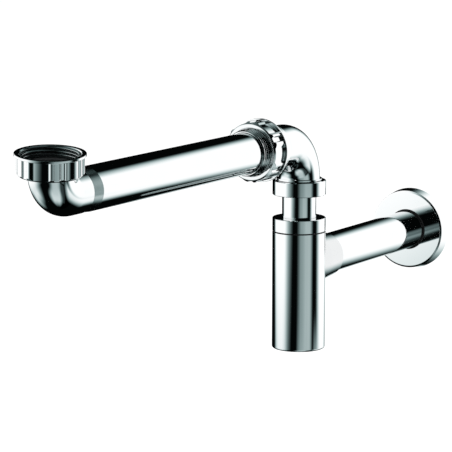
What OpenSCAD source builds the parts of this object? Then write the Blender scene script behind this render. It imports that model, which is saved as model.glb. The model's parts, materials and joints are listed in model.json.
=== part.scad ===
// Space saving bottle trap for a basin, in chromed brass.
// The wall is the plane X = 0 and the waste pipe leaves through it along +X, at Z = 0.
// The bottle hangs in front of the wall, and the arm reaches forward, along -X, to the basin.

/* [Layout] */
// Distance from the wall to the axis of the bottle
bottle_to_wall = 195; // [170:1:260]
// Reach of the arm, from the axis of the bottle to the axis of the inlet
arm_reach = 338; // [240:1:420]
// Height of the arm's axis over the axis of the waste pipe
arm_rise = 97.5; // [90:0.5:140]
// Turn of the arm in its gland, towards the front
arm_turn = 4; // [-20:0.5:20]
// How far the inlet leans outwards from square to the arm
inlet_lean = 4.4; // [0:0.1:8]

/* [Tubes] */
// Outside diameter of the arm and of the waste pipe
pipe_d = 32; // [30:0.5:36]
// Wall of the arm, the waste pipe and the dip tube
tube_wall = 1.2; // [0.8:0.1:1.6]
// Radius of the arm's bend, on the axis
arm_bend_r = 20.5; // [18:0.5:21]
// Straight length between the bend and the inlet's end
inlet_straight = 1.9; // [1.9:0.1:6]
// Distance from the inlet's axis to the swaged shoulder on the arm
shoulder_from = 30.4; // [24:0.2:60]
// Length of the swaged shoulder
shoulder_len = 11.2; // [6:0.2:16]
// How much the arm is drawn down in radius before the shoulder
shoulder_draw = 0.2; // [0.1:0.05:0.4]
// Length of arm that is hidden past the end of the gland collar
arm_insert = 35.6; // [32:0.2:38]
// Outside diameter of the dip tube
dip_d = 27.3; // [26:0.1:28]
// Depth of the dip tube's lower end, under the axis of the waste pipe
dip_depth = 55; // [50:0.5:57]
// Length of waste pipe that goes into the wall
wall_insert = 20; // [10:1:60]

/* [Bottle] */
// Diameter of the bottle, and of the smooth nuts over it
bottle_d = 42.7; // [42:0.1:46]
// Wall of the bottle
bottle_wall = 2; // [1.6:0.1:2.4]
// Depth of the bottle under the axis of the waste pipe
bottle_depth = 69.7; // [66:0.1:90]
// Height of the bottle's shoulder over the axis of the waste pipe
shoulder_z = 25; // [24:0.1:30]
// Rounding of the bottle's lower edge
base_round = 1.5; // [0.5:0.1:4]
// Length of the outlet boss, from the axis of the bottle
boss_reach = 41.5; // [40:0.5:56]
// Diameter of the outlet boss where it leaves the bottle
boss_d = 39.4; // [38:0.1:41]
// Diameter of the outlet boss at its end
boss_end_d = 36; // [35.5:0.1:38]
// Depth of the waste pipe in the boss
socket_depth = 18; // [16:0.5:18.5]

/* [Trap elbow] */
// Outside diameter of the trap elbow
elbow_d = 32.8; // [32:0.1:36]
// Wall of the trap elbow
elbow_wall = 2.2; // [1.8:0.1:2.6]
// Widest radius of the trap elbow's bend, on its axis
elbow_bend_most = 29.2; // [24:0.2:30]
// Diameter of the hub that holds the end of the arm
hub_d = 37.8; // [37:0.1:39]
// Diameter of the foot over the swivel nut
foot_d = 36.2; // [34:0.1:38]
// Distance from the bottle's axis to the face where the arm nut's mouth ends
elbow_face = 60; // [56:0.5:72]

/* [Ribbed nuts] */
// Length of a ribbed nut
nut_h = 15.6; // [13.6:0.2:20]
// Diameter of a ribbed nut's flange
flange_d = 49.8; // [48.5:0.1:54]
// Thickness of the flange
flange_h = 1.8; // [1:0.1:3]
// Diameter over the ribs
rib_d = 47.6; // [46.5:0.1:49]
// Diameter of the panels between the ribs
panel_d = 45.2; // [44.5:0.1:46]
// Number of rib pairs
rib_pairs = 6; // [4:1:8]
// Width over one pair of ribs
pair_w = 8.6; // [7:0.2:11]
// Width of the groove between the two ribs of a pair
groove_w = 4.6; // [3:0.2:5.6]
// Diameter of the nut's bore, at the root of its thread
thread_d = 41.9; // [41:0.1:42.5]
// Thickness of the nut's closed end
nut_end = 2.6; // [2:0.1:4]
// Turn of the inlet nut about its axis
inlet_nut_turn = 46; // [0:1:60]
// Turn of the arm nut about its axis
arm_nut_turn = 0; // [0:1:60]

/* [Smooth nuts] */
// Length of the swivel nut under the elbow
swivel_h = 11.7; // [10.5:0.1:16]
// Height of the swivel nut's top over the axis of the waste pipe
swivel_top = 66.7; // [64:0.1:80]
// Length of the bottle's ring nut
ring_h = 10.8; // [9.6:0.1:16]
// Thickness of the closed end of a smooth nut
smooth_end = 2.2; // [1.6:0.1:3]
// Wall of a smooth nut round its thread
smooth_wall = 1.8; // [1.4:0.1:2.4]

/* [Seals] */
// Thickness of the flat washers
washer_t = 1.8; // [1.5:0.1:3]
// Thickness of the slip rings that the nuts press on
slip_t = 1; // [1:0.1:2]
// Length of the cone seals
cone_len = 5.2; // [4:0.1:7]
// Thickness of the gasket between the bottle and its ring nut
gasket_t = 0.7; // [0.5:0.1:1.5]
// Thickness of an O-ring's section
oring_t = 1.6; // [1.2:0.1:1.6]
// How far the gland collar stands out of the arm nut
collar_out = 9; // [5:0.5:12]
// Diameter of the gland collar where it leaves the arm nut
collar_d = 37.4; // [36:0.1:38]

/* [Wall plate] */
// Diameter of the wall plate's front face
plate_d = 67; // [60:0.5:80]
// Diameter of the wall plate against the wall
plate_back_d = 69.5; // [60:0.5:84]
// Depth of the wall plate
plate_h = 10; // [7:0.5:16]
// Wall of the wall plate
plate_wall = 1.4; // [1:0.1:2.5]
// How far the rubber grip ring stands in front of the plate
grip_out = 2.6; // [1:0.1:4]

/* [Clearances] */
// Gap between curved faces of pieces that move past each other
gap = 0.3; // [0.25:0.05:0.5]
// Gap of a seal that slides on a tube
slide_gap = 0.05; // [0.02:0.01:0.1]
// Gap between a nut's thread and the thread it turns on
thread_gap = 0.35; // [0.3:0.05:0.6]

/* [Hidden] */
$fn = 96;

// Radii that several pieces share
pipe_r = pipe_d / 2;
pipe_bore_r = pipe_r - tube_wall;
dip_r = dip_d / 2;
dip_bore_r = dip_r - tube_wall;
bottle_r = bottle_d / 2;
thread_r = thread_d / 2;
spigot_r = thread_r - thread_gap;
elbow_r = elbow_d / 2;
elbow_bore_r = elbow_r - elbow_wall;
collar_r = collar_d / 2;
smooth_thread_r = bottle_r - smooth_wall;
smooth_spigot_r = smooth_thread_r - thread_gap;
smooth_ring_r = smooth_thread_r - 2 * gap;
nut_ring_r = thread_r - 2 * gap;
spun_collar_r = thread_r - 3 * gap;
gasket_inset = 0.25;

// How far a cut runs past the face that it opens, and how far solids that join reach into each other
over = 1;
eps = 0.02;

// Slope of the cone seals, the wall of each one's thin end with the radius that it gives, and how
// far they stand out of their seats
cone_slope = 0.42;
arm_seal_step = 1.2;
dip_seal_step = 1.9;
arm_seal_thin_r = pipe_r + arm_seal_step;
dip_seal_thin_r = dip_r + dip_seal_step;
seal_stand = 0.9;

// The ribbed nuts' smaller sizes: depth of the ribs' roots, their steep and their easy flank, the
// bevels, the floor of the groove, and the plain relief under the thread
rib_root = 2.4;
rib_flank = 1.8;
rib_lead = 3.4;
bevel_full = 1.82;
bevel_flat = 0.56;
mouth_bevel = 1;
nut_edge = 0.3;
groove_floor = 0.1;
relief_depth = 0.3;
relief_len = 5;

// Extra radius of the inlet nut's hole, so that it passes over the arm's bend
bend_room = 2;

// Small steps on the pieces of each joint
collar_flange_t = 1.4;
dip_flange_t = 1.4;
spun_collar_t = 1.8;
pipe_stop = 0.5;
thread_relief = 0.8;
spigot_edge = 0.6;
arm_play = 2.2;
hub_end_t = 1.5;
hub_taper = 5;
foot_h = 1.6;
neck_ledge = 4;
oring_first = 4;
oring_pitch = 6;
oring_gap = 0.1;
mark_at = 0.6;
mark_w = 0.6;
mark_depth = 0.2;
grip_wall = 2;
grip_r = pipe_r + grip_wall;
grip_step = 1;
grip_back = 3;

// The arm nut's gland, along the arm's axis from the bottle's
arm_nut_x = -elbow_face - nut_h;
arm_seal_x = arm_nut_x + nut_end + slide_gap + collar_flange_t + gap + cone_len;
arm_spigot_x = -elbow_face - thread_relief;
spigot_len = nut_h - nut_end - collar_flange_t - 2 * thread_relief;
spigot_end_x = arm_spigot_x - spigot_len;
arm_end_x = arm_nut_x - collar_out + arm_insert;
arm_socket_x = arm_end_x + arm_play;
hub_x = arm_socket_x + hub_end_t;
elbow_bend_r = min(elbow_bend_most, arm_rise - swivel_top - foot_h);

// The inlet, along its own axis from the arm's
arm_tangent = arm_bend_r * tan((90 - inlet_lean) / 2);
arm_bend_x = arm_tangent - arm_reach;
shoulder_x = shoulder_from - arm_reach;
inlet_end_z = arm_tangent + inlet_straight;
inlet_seat_z = inlet_end_z - spun_collar_t;
inlet_nut_z = inlet_seat_z - slip_t - slide_gap - nut_end;

// The nuts over the bottle
swivel_slip_z = swivel_top - swivel_h + smooth_end + slide_gap;
swivel_face_z = swivel_slip_z + slip_t + dip_flange_t + washer_t + 3 * slide_gap;
ring_z = shoulder_z + gasket_t + slide_gap;
dip_slip_z = ring_z + ring_h - smooth_end - slide_gap;
dip_seal_z = dip_slip_z - slip_t - gap - cone_len;
dip_seat_depth = cone_len - seal_stand;
neck_top = dip_seal_z + dip_seat_depth;
neck_floor = shoulder_z - neck_ledge;

// The two O-rings in the outlet boss
socket_x = boss_reach - socket_depth;
oring_x = [socket_x + oring_first, socket_x + oring_first + oring_pitch];
groove_r = pipe_r + slide_gap + oring_t + oring_gap;

// Moves the children to the axis of the bottle
module at_bottle() {
    translate([-bottle_to_wall, 0, 0]) children();
}

// Puts the children on the axis of the arm: X stays X, and X = 0 is the bottle's axis
module at_arm() {
    at_bottle() translate([0, 0, arm_rise]) children();
}

// Turns what belongs to the arm in its gland
module on_arm() {
    at_arm() rotate([arm_turn, 0, 0]) children();
}

// Puts the children on the inlet: Z = 0 is on the arm's axis, and Z runs up to the basin
module on_inlet() {
    on_arm() translate([-arm_reach, 0, 0]) rotate([0, -inlet_lean, 0]) children();
}

// Lays the children's Z axis along +X
module along_x() {
    rotate([0, 90, 0]) children();
}

// A ring with a plain rectangular section, from z = low to z = high
module ring(inner_r, outer_r, low, high) {
    rotate_extrude()
        polygon([[inner_r, low], [outer_r, low], [outer_r, high], [inner_r, high]]);
}

// A round piece turned about Z from a profile of [radius, height] points
module turned(profile) {
    rotate_extrude() polygon(profile);
}

// A quarter round from [r, z], as profile points: centre, radius, first and last angle
function arc_points(centre, radius, first, last, steps = 8) = [
    for (i = [0:steps])
        let (angle = first + (last - first) * i / steps)
        centre + radius * [cos(angle), sin(angle)]
];

// One pair of ribs with slanted flanks, as tall as the nut, to be cut round outside
module rib_pair() {
    root_x = (panel_d - rib_root) / 2;
    top_x = rib_d / 2 + over;
    linear_extrude(nut_h - eps)
        polygon([
            [root_x, -pair_w / 2 - rib_flank], [top_x, -pair_w / 2],
            [top_x, pair_w / 2], [root_x, pair_w / 2 + rib_lead]
        ]);
}

// Ribbed union nut: its closed end is at z = 0 and its threaded mouth is at z = nut_h
module ribbed_nut(hole_r) {
    rib_r = rib_d / 2;
    flange_r = flange_d / 2;
    flange_z = nut_h - flange_h;
    difference() {
        union() {
            intersection() {
                union() {
                    cylinder(r = panel_d / 2, h = nut_h - nut_edge);
                    for (i = [0:rib_pairs - 1])
                        rotate(i * 360 / rib_pairs) rib_pair();
                }
                turned([
                    [0, 0], [rib_r - bevel_full, 0], [rib_r - bevel_flat, bevel_flat],
                    [rib_r, bevel_full], [rib_r, nut_h], [0, nut_h]
                ]);
            }
            turned([
                [0, flange_z], [flange_r - nut_edge, flange_z], [flange_r, flange_z + nut_edge],
                [flange_r, nut_h - nut_edge], [flange_r - nut_edge, nut_h], [0, nut_h]
            ]);
        }
        for (i = [0:rib_pairs - 1])
            rotate(i * 360 / rib_pairs)
                translate([panel_d / 2 + groove_floor, -groove_w / 2, -over])
                    cube([rib_r, groove_w, flange_z + over - eps]);
        turned([
            [0, nut_end], [thread_r + relief_depth, nut_end],
            [thread_r + relief_depth, nut_end + relief_len], [thread_r, nut_end + relief_len],
            [thread_r, nut_h - mouth_bevel], [thread_r + mouth_bevel + eps, nut_h + eps],
            [0, nut_h + eps]
        ]);
        translate([0, 0, -over]) cylinder(r = hole_r, h = nut_end + 2 * over);
    }
}

// Smooth round nut: its closed end is at z = 0 and its threaded mouth is at z = height
module smooth_nut(height) {
    outer_r = bottle_r;
    edge = 0.4;
    difference() {
        turned([
            [dip_r + gap, 0], [outer_r - edge, 0], [outer_r, edge],
            [outer_r, height - edge], [outer_r - edge, height], [dip_r + gap, height]
        ]);
        translate([0, 0, smooth_end]) cylinder(r = smooth_thread_r, h = height);
    }
}

// Tapered rubber ring between z = 0, its thin end, and z = cone_len, its thick end
module cone_seal(bore_r, thin_r) {
    turned([
        [bore_r, 0], [thin_r, 0], [thin_r + cone_len * cone_slope, cone_len], [bore_r, cone_len]
    ]);
}

// What a spigot loses to its waterway, its tube's bore and the seat of its cone seal.
// The spigot ends at z = 0, the seal's thin end is at z = -seat, and the bore ends at z = -depth
module seal_seat(tube_r, thin_r, seat, depth) {
    wide_r = thin_r + gap + seat * cone_slope;
    turned([
        [0, -depth], [tube_r + gap, -depth], [tube_r + gap, -seat - gap],
        [thin_r + gap, -seat - gap], [thin_r + gap, -seat], [wide_r, 0], [wide_r, over], [0, over]
    ]);
}

// Inlet nut: it hangs on the collar of the arm and screws on the basin's waste
module inlet_nut() {
    color("silver") on_inlet()
        translate([0, 0, inlet_nut_z]) rotate(inlet_nut_turn) ribbed_nut(pipe_r + bend_room);
}

// Slip ring that lets the inlet nut turn under the arm's collar
module inlet_slip_ring() {
    color("white") on_inlet()
        ring(pipe_r + gap, nut_ring_r, inlet_seat_z - slip_t, inlet_seat_z);
}

// Flat washer on the end of the arm, which the basin's waste presses on
module inlet_washer() {
    color("dimgray") on_inlet()
        ring(pipe_bore_r, nut_ring_r, inlet_end_z, inlet_end_z + washer_t);
}

// Sweeps a round section of the given radius along the arm's bend
module arm_bend(radius) {
    translate([arm_bend_x, 0, arm_bend_r]) rotate([90, 0, 0]) rotate(180 + inlet_lean)
        rotate_extrude(angle = 90 - inlet_lean) translate([arm_bend_r, 0]) circle(r = radius);
}

// Solid of the arm at a given step inwards from its skin. The bend is a hair thinner than the
// straight tubes, so that their skins cross cleanly
module arm_solid(inset) {
    bend_r = pipe_r - shoulder_draw - inset;
    straight_r = pipe_r - inset;
    past = inset > 0 ? over : 0;
    translate([-arm_reach, 0, 0]) rotate([0, -inlet_lean, 0])
        translate([0, 0, arm_tangent - eps])
            cylinder(r = bend_r, h = inlet_end_z - arm_tangent + past + eps);
    arm_bend(bend_r - eps);
    translate([arm_bend_x - eps, 0, 0]) along_x()
        turned([
            [0, 0], [bend_r, 0], [bend_r, shoulder_x - arm_bend_x],
            [straight_r, shoulder_x + shoulder_len - arm_bend_x],
            [straight_r, arm_end_x - arm_bend_x + past + eps], [0, arm_end_x - arm_bend_x + past + eps]
        ]);
}

// The arm: one bent tube with a collar spun on its inlet
module arm_tube() {
    color("gainsboro") on_arm() difference() {
        union() {
            arm_solid(0);
            translate([-arm_reach, 0, 0]) rotate([0, -inlet_lean, 0])
                ring(pipe_bore_r, spun_collar_r, inlet_seat_z, inlet_end_z);
        }
        arm_solid(tube_wall);
    }
}

// Ribbed nut that closes the gland on the trap elbow
module arm_nut() {
    color("silver") at_arm()
        translate([arm_nut_x, 0, 0]) along_x() rotate(arm_nut_turn) ribbed_nut(collar_r + gap);
}

// Collar that the arm nut presses on the cone seal, and that stands out of the nut round the arm
module gland_collar() {
    seat = nut_end + slide_gap;
    tip = -collar_out;
    lip = 0.9;
    edge = 0.3;
    neck = 0.5;
    inner_r = pipe_r + gap;
    color("gainsboro") at_arm() translate([arm_nut_x, 0, 0]) along_x()
        turned([
            [inner_r, tip], [inner_r + lip, tip], [inner_r + lip + edge, tip + edge],
            [collar_r, -neck], [collar_r, seat], [nut_ring_r, seat],
            [nut_ring_r, seat + collar_flange_t], [inner_r, seat + collar_flange_t]
        ]);
}

// Cone seal round the arm, in the mouth of the trap elbow
module arm_cone_seal() {
    color("dimgray") at_arm()
        translate([arm_seal_x, 0, 0]) rotate([0, -90, 0])
            cone_seal(pipe_r + slide_gap, arm_seal_thin_r);
}

// The trap elbow: cast, with a wide threaded spigot for the gland and a narrow one below
module trap_elbow() {
    color("gainsboro") at_arm() difference() {
        union() {
            elbow_bend(elbow_r);
            rotate([0, -90, 0]) turned([
                [0, elbow_bend_r - eps], [elbow_r, elbow_bend_r - eps], [elbow_r, -hub_x - hub_taper],
                [hub_d / 2, -hub_x], [hub_d / 2, -arm_spigot_x], [spigot_r - spigot_edge, -arm_spigot_x],
                [spigot_r, -arm_spigot_x + spigot_edge], [spigot_r, -spigot_end_x - spigot_edge],
                [spigot_r - spigot_edge, -spigot_end_x], [0, -spigot_end_x]
            ]);
            translate([0, 0, -arm_rise]) turned([
                [0, swivel_face_z], [smooth_spigot_r, swivel_face_z],
                [smooth_spigot_r, swivel_top - spigot_edge], [foot_d / 2, swivel_top - spigot_edge],
                [foot_d / 2, swivel_top + foot_h], [elbow_r, swivel_top + foot_h],
                [elbow_r, arm_rise - elbow_bend_r + eps], [0, arm_rise - elbow_bend_r + eps]
            ]);
        }
        elbow_bend(elbow_bore_r);
        translate([-elbow_bend_r + eps, 0, 0]) rotate([0, -90, 0])
            cylinder(r = elbow_bore_r, h = elbow_face);
        translate([0, 0, swivel_face_z - arm_rise - over])
            cylinder(r = elbow_bore_r, h = arm_rise - swivel_face_z - elbow_bend_r + over + eps);
        translate([spigot_end_x, 0, 0]) rotate([0, -90, 0]) seal_seat(
            pipe_r, arm_seal_thin_r, arm_seal_x - spigot_end_x, arm_socket_x - spigot_end_x);
    }
}

// Sweeps a round section of the given radius along the trap elbow's bend
module elbow_bend(radius) {
    translate([-elbow_bend_r, 0, -elbow_bend_r]) rotate([90, 0, 0])
        rotate_extrude(angle = 90) translate([elbow_bend_r, 0]) circle(r = radius);
}

// Smooth nut that holds the dip tube's flange up to the trap elbow
module swivel_nut() {
    color("silver") at_bottle() translate([0, 0, swivel_top - swivel_h]) smooth_nut(swivel_h);
}

// Slip ring between the swivel nut and the dip tube's flange
module swivel_slip_ring() {
    color("white") at_bottle()
        ring(dip_r + gap, smooth_ring_r, swivel_slip_z, swivel_slip_z + slip_t);
}

// Flat washer between the dip tube's flange and the trap elbow
module swivel_washer() {
    color("dimgray") at_bottle()
        ring(dip_bore_r, smooth_ring_r, swivel_face_z - slide_gap - washer_t, swivel_face_z - slide_gap);
}

// Dip tube: flanged at the top, open at the bottom, and long enough to make the water seal
module dip_tube() {
    flange_z = swivel_slip_z + slip_t + slide_gap;
    color("gainsboro") at_bottle() turned([
        [dip_bore_r, -dip_depth], [dip_r, -dip_depth], [dip_r, flange_z],
        [smooth_ring_r, flange_z], [smooth_ring_r, flange_z + dip_flange_t],
        [dip_bore_r, flange_z + dip_flange_t]
    ]);
}

// Smooth ring nut on the neck of the bottle, in line with the bottle's skin
module ring_nut() {
    color("silver") at_bottle()
        translate([0, 0, ring_z + ring_h]) mirror([0, 0, 1]) smooth_nut(ring_h);
}

// Slip ring between the ring nut and the cone seal
module dip_slip_ring() {
    color("white") at_bottle()
        ring(dip_r + gap, smooth_ring_r, dip_slip_z - slip_t, dip_slip_z);
}

// Cone seal round the dip tube, in the neck of the bottle
module dip_cone_seal() {
    color("dimgray") at_bottle()
        translate([0, 0, dip_seal_z]) cone_seal(dip_r + slide_gap, dip_seal_thin_r);
}

// Black gasket that shows as a fine line under the ring nut
module bottle_gasket() {
    color("black") at_bottle()
        ring(smooth_spigot_r + gap, bottle_r - gasket_inset, shoulder_z, shoulder_z + gasket_t);
}

// Outer form of the outlet boss, as a solid of revolution along +X from the bottle's axis
module boss_form() {
    end_r = boss_end_d / 2;
    edge = 0.5;
    along_x() turned([
        [0, 0], [boss_d / 2, 0], [boss_d / 2, bottle_r - bottle_wall / 2],
        [end_r, boss_reach - edge], [end_r - edge, boss_reach], [0, boss_reach]
    ]);
}

// The bottle: a cup with a threaded neck and an outlet boss, cast and turned in one piece
module bottle_body() {
    inner_r = bottle_r - bottle_wall;
    color("gainsboro") at_bottle() difference() {
        union() {
            turned(concat(
                [[0, -bottle_depth]],
                arc_points([bottle_r - base_round, base_round - bottle_depth], base_round, -90, 0),
                [[bottle_r, shoulder_z], [smooth_spigot_r, shoulder_z],
                 [smooth_spigot_r, neck_top], [0, neck_top]]
            ));
            boss_form();
        }
        translate([0, 0, bottle_wall - bottle_depth])
            cylinder(r = inner_r, h = neck_floor + bottle_depth - bottle_wall);
        translate([0, 0, neck_top])
            seal_seat(dip_r, dip_seal_thin_r, dip_seat_depth, neck_top - neck_floor + over);
        along_x() cylinder(r = pipe_bore_r, h = boss_reach + over);
        translate([socket_x, 0, 0]) along_x()
            cylinder(r = pipe_r + slide_gap, h = socket_depth + over);
        for (x = oring_x)
            translate([x, 0, 0]) along_x()
                cylinder(r = groove_r, h = oring_t + 2 * gap, center = true);
    }
}

// O-ring in a groove of the boss, round the waste pipe
module outlet_oring(x) {
    color("black") at_bottle() translate([x, 0, 0]) along_x()
        rotate_extrude() translate([pipe_r + slide_gap + oring_t / 2, 0]) circle(d = oring_t, $fn = 24);
}

module outlet_oring_inner() {
    outlet_oring(oring_x[0]);
}

module outlet_oring_outer() {
    outlet_oring(oring_x[1]);
}

// Waste pipe from the socket of the boss, through the wall plate and into the wall.
// A line scored round it, out of sight under the plate, marks how deep it goes into the wall
module waste_pipe() {
    pipe_start = socket_x + pipe_stop - bottle_to_wall;
    color("gainsboro") along_x() turned([
        [pipe_bore_r, pipe_start], [pipe_r, pipe_start],
        [pipe_r, -mark_at - mark_w], [pipe_r - mark_depth, -mark_at - mark_w],
        [pipe_r - mark_depth, -mark_at], [pipe_r, -mark_at],
        [pipe_r, wall_insert], [pipe_bore_r, wall_insert]
    ]);
}

// Rubber ring that grips the pipe and carries the wall plate
module grip_ring() {
    lip = 0.5;
    back_z = plate_h - plate_wall - grip_back;
    color("black") rotate([0, -90, 0]) turned([
        [pipe_r + slide_gap, back_z], [grip_r - grip_step, back_z],
        [grip_r - grip_step, plate_h], [grip_r, plate_h], [grip_r, plate_h + grip_out - lip],
        [grip_r - lip, plate_h + grip_out], [pipe_r + slide_gap, plate_h + grip_out]
    ]);
}

// Wall plate: a pressed dish with a flat face, open towards the wall
module wall_plate() {
    front_r = plate_d / 2;
    back_r = plate_back_d / 2;
    edge = 0.8;
    hole_r = grip_r - grip_step;
    color("silver") rotate([0, -90, 0]) turned([
        [hole_r, plate_h - plate_wall], [front_r - plate_wall, plate_h - plate_wall],
        [back_r - plate_wall, 0], [back_r, 0], [front_r, plate_h - edge],
        [front_r - edge, plate_h], [hole_r, plate_h]
    ]);
}

inlet_nut();
inlet_washer();
inlet_slip_ring();
arm_tube();
arm_nut();
gland_collar();
arm_cone_seal();
trap_elbow();
swivel_nut();
swivel_washer();
swivel_slip_ring();
dip_tube();
ring_nut();
dip_slip_ring();
dip_cone_seal();
bottle_gasket();
bottle_body();
outlet_oring_inner();
outlet_oring_outer();
waste_pipe();
grip_ring();
wall_plate();
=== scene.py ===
import json
import math

import bpy
import numpy as np
from bpy.props import FloatProperty, FloatVectorProperty, IntProperty, PointerProperty
from bpy.types import Operator, Panel, PropertyGroup
from mathutils import Matrix, Vector


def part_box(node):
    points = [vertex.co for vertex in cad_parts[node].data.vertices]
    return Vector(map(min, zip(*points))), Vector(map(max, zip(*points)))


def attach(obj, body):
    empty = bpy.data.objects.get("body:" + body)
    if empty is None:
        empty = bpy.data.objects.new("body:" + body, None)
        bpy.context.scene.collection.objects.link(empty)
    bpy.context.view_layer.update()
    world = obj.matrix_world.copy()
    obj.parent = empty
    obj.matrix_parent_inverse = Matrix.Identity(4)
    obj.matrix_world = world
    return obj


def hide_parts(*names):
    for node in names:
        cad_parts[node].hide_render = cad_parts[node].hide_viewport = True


bl_info = {
    "name": "Basin Trap",
    "version": (1, 0, 0),
    "blender": (4, 5, 0),
    "location": "3D View > Sidebar > Basin Trap",
    "description": "Threads, finishes and studio of a chromed basin trap",
    "category": "Object",
}

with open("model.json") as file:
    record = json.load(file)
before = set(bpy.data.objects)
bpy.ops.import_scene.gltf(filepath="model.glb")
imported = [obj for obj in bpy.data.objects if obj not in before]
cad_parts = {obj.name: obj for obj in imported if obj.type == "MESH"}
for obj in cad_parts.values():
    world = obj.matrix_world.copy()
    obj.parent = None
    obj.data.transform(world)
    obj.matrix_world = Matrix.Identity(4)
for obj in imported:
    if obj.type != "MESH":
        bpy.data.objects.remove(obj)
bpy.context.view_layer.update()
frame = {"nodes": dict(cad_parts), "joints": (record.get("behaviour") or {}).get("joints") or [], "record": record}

# Axes of the trap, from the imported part's joints: a point on each and its direction
JOINTS = {joint["name"]: joint for joint in frame["joints"]}
MOUNTS = {mount["name"]: mount for mount in frame["record"]["mounts"]}


def axis_of(joint_name):
    """Point on a joint's axis and the axis's direction, in metres."""
    joint = JOINTS[joint_name]
    return Vector(joint["pos_m"]), Vector(joint["axis"]).normalized()


INLET_POINT, INLET_AXIS = axis_of("inlet_nut_spin")
ARM_POINT, ARM_AXIS = axis_of("arm_turn")
BOTTLE_POINT, BOTTLE_AXIS = axis_of("ring_nut_screw")
PIPE_POINT, PIPE_AXIS = Vector((0, 0, 0)), Vector((1, 0, 0))


class TrapThreads(PropertyGroup):
    """Sizes of the threads that show in the nuts and on the spigots."""

    union_pitch: FloatProperty(
        name="Union pitch", description="Pitch of the thread in the ribbed nuts",
        default=0.002309, unit="LENGTH")
    union_depth: FloatProperty(
        name="Union depth", description="Depth of the open thread in the inlet nut",
        default=0.0013, unit="LENGTH")
    fine_pitch: FloatProperty(
        name="Fine pitch", description="Pitch of the thread in the smooth nuts",
        default=0.0015, unit="LENGTH")
    meshed_depth: FloatProperty(
        name="Meshed depth", description="Height of each ridge where a nut and its spigot mesh",
        default=0.0002, unit="LENGTH")
    steps: IntProperty(
        name="Steps a turn", description="Cross sections in one turn of a thread",
        default=96, min=24, max=240)


class TrapRings(PropertyGroup):
    """Sizes of the turned rings and of the wall plate's edge."""

    collar_teeth: IntProperty(
        name="Collar steps", description="Number of turned steps on the gland collar",
        default=4, min=1, max=8)
    collar_rise: FloatProperty(
        name="Step rise", description="How far each step of the collar rises towards the nut",
        default=0.0007, unit="LENGTH")
    collar_land: FloatProperty(
        name="Step land", description="Share of each step's length that is flat at its top",
        default=0.3, min=0.05, max=0.9)
    plate_bevel: FloatProperty(
        name="Plate bevel", description="Width of the low bevel round the wall plate's face",
        default=0.0015, unit="LENGTH")
    plate_slope: FloatProperty(
        name="Bevel slope", description="Angle between the plate's face and its bevel",
        default=math.radians(23), subtype="ANGLE")
    ring_stand: FloatProperty(
        name="Grip ring stand", description="How far the grip ring stands in front of the plate",
        default=0.0006, unit="LENGTH")
    rounding: FloatProperty(
        name="Edge rounding", description="Rounding of the turned edges",
        default=0.00012, unit="LENGTH")
    steps: IntProperty(
        name="Steps round", description="Points round each ring", default=160, min=48, max=360)


class TrapNuts(PropertyGroup):
    """Shape of the ribs on the union nuts."""

    chamfer: FloatProperty(
        name="Chamfer", description="Chamfer round the closed end of each ribbed nut",
        default=0.0009, unit="LENGTH")
    soft_flank: FloatProperty(
        name="Flank rounding", description="How far the rounding of a rib's flank reaches past it",
        default=0.0003, unit="LENGTH")
    rounding: FloatProperty(
        name="Edge rounding", description="Rounding of the nut's turned edges",
        default=0.00025, unit="LENGTH")
    steps: IntProperty(
        name="Steps round", description="Points round each ribbed nut",
        default=720, min=180, max=1440)


class TrapFinishes(PropertyGroup):
    """Colours and polish of the trap's materials, with painted shade in the bores, on the arm's band and on the
    boss.
    """

    chrome: FloatVectorProperty(
        name="Chrome", description="Colour of the bright plating",
        default=(0.86, 0.875, 0.88), subtype="COLOR", min=0, max=1)
    # Painted shade: a dark colour given to the insides of the tubes and nuts stands for the shade in their bores;
    # their roughness is raised as well
    bore_painted_shade: FloatVectorProperty(
        name="Dull plating", description="Colour inside the tubes, where the plating is thin",
        default=(0.16, 0.19, 0.19), subtype="COLOR", min=0, max=1)
    # Painted shade: the band's colour is darker than the chrome and stands for the darker reflection in the
    # recess; its roughness is a real finish
    band_painted_shade: FloatVectorProperty(
        name="Satin band", description="Colour of the satin band in the arm's shallow recess",
        default=(0.42, 0.48, 0.48), subtype="COLOR", min=0, max=1)
    black_rubber: FloatVectorProperty(
        name="Black rubber", description="Colour of the gasket, O-rings and grip ring",
        default=(0.006, 0.006, 0.0065), subtype="COLOR", min=0, max=1)
    grey_rubber: FloatVectorProperty(
        name="Grey rubber", description="Colour of the washers and cone seals",
        default=(0.022, 0.024, 0.025), subtype="COLOR", min=0, max=1)
    white_plastic: FloatVectorProperty(
        name="White plastic", description="Colour of the slip rings",
        default=(0.80, 0.80, 0.78), subtype="COLOR", min=0, max=1)
    polish: FloatProperty(
        name="Polish", description="Roughness of the brightest plating",
        default=0.035, min=0, max=1)
    # Painted shade: this share darkens the boss's chrome colour and stands for its dimmer reflection
    boss_shade_tone: FloatProperty(
        name="Boss tone", description="How bright the satin of the outlet boss is beside the rest",
        default=0.83, min=0, max=1)


class TrapStage(PropertyGroup):
    """Sizes and levels of the studio."""

    floor_drop: FloatProperty(
        name="Floor drop", description="Distance from the wall pipe's axis down to the floor",
        default=0.42, unit="LENGTH")
    tent_radius: FloatProperty(
        name="Tent radius", description="Radius of the round light tent",
        default=0.9, unit="LENGTH")
    tent_white: FloatProperty(
        name="Tent white", description="Level of the tent's white walls",
        default=1.18, min=0)
    room_level: FloatProperty(
        name="Room level", description="Level of the soft light from all round",
        default=0.78, min=0)
    lamp_power: FloatProperty(
        name="Lamp power", description="Power of the large soft lamp overhead",
        default=32, unit="POWER", min=0)


def mesh_piece(name, points, faces, material, smooth=True):
    """New object with its place in its mesh, linked to the scene."""
    mesh = bpy.data.meshes.new(name)
    mesh.from_pydata(points.reshape(-1, 3).tolist(), [], faces)
    mesh.update()
    mesh.polygons.foreach_set("use_smooth", np.full(len(mesh.polygons), smooth))
    mesh.materials.append(material)
    piece = bpy.data.objects.new(name, mesh)
    bpy.context.scene.collection.objects.link(piece)
    return piece


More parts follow.
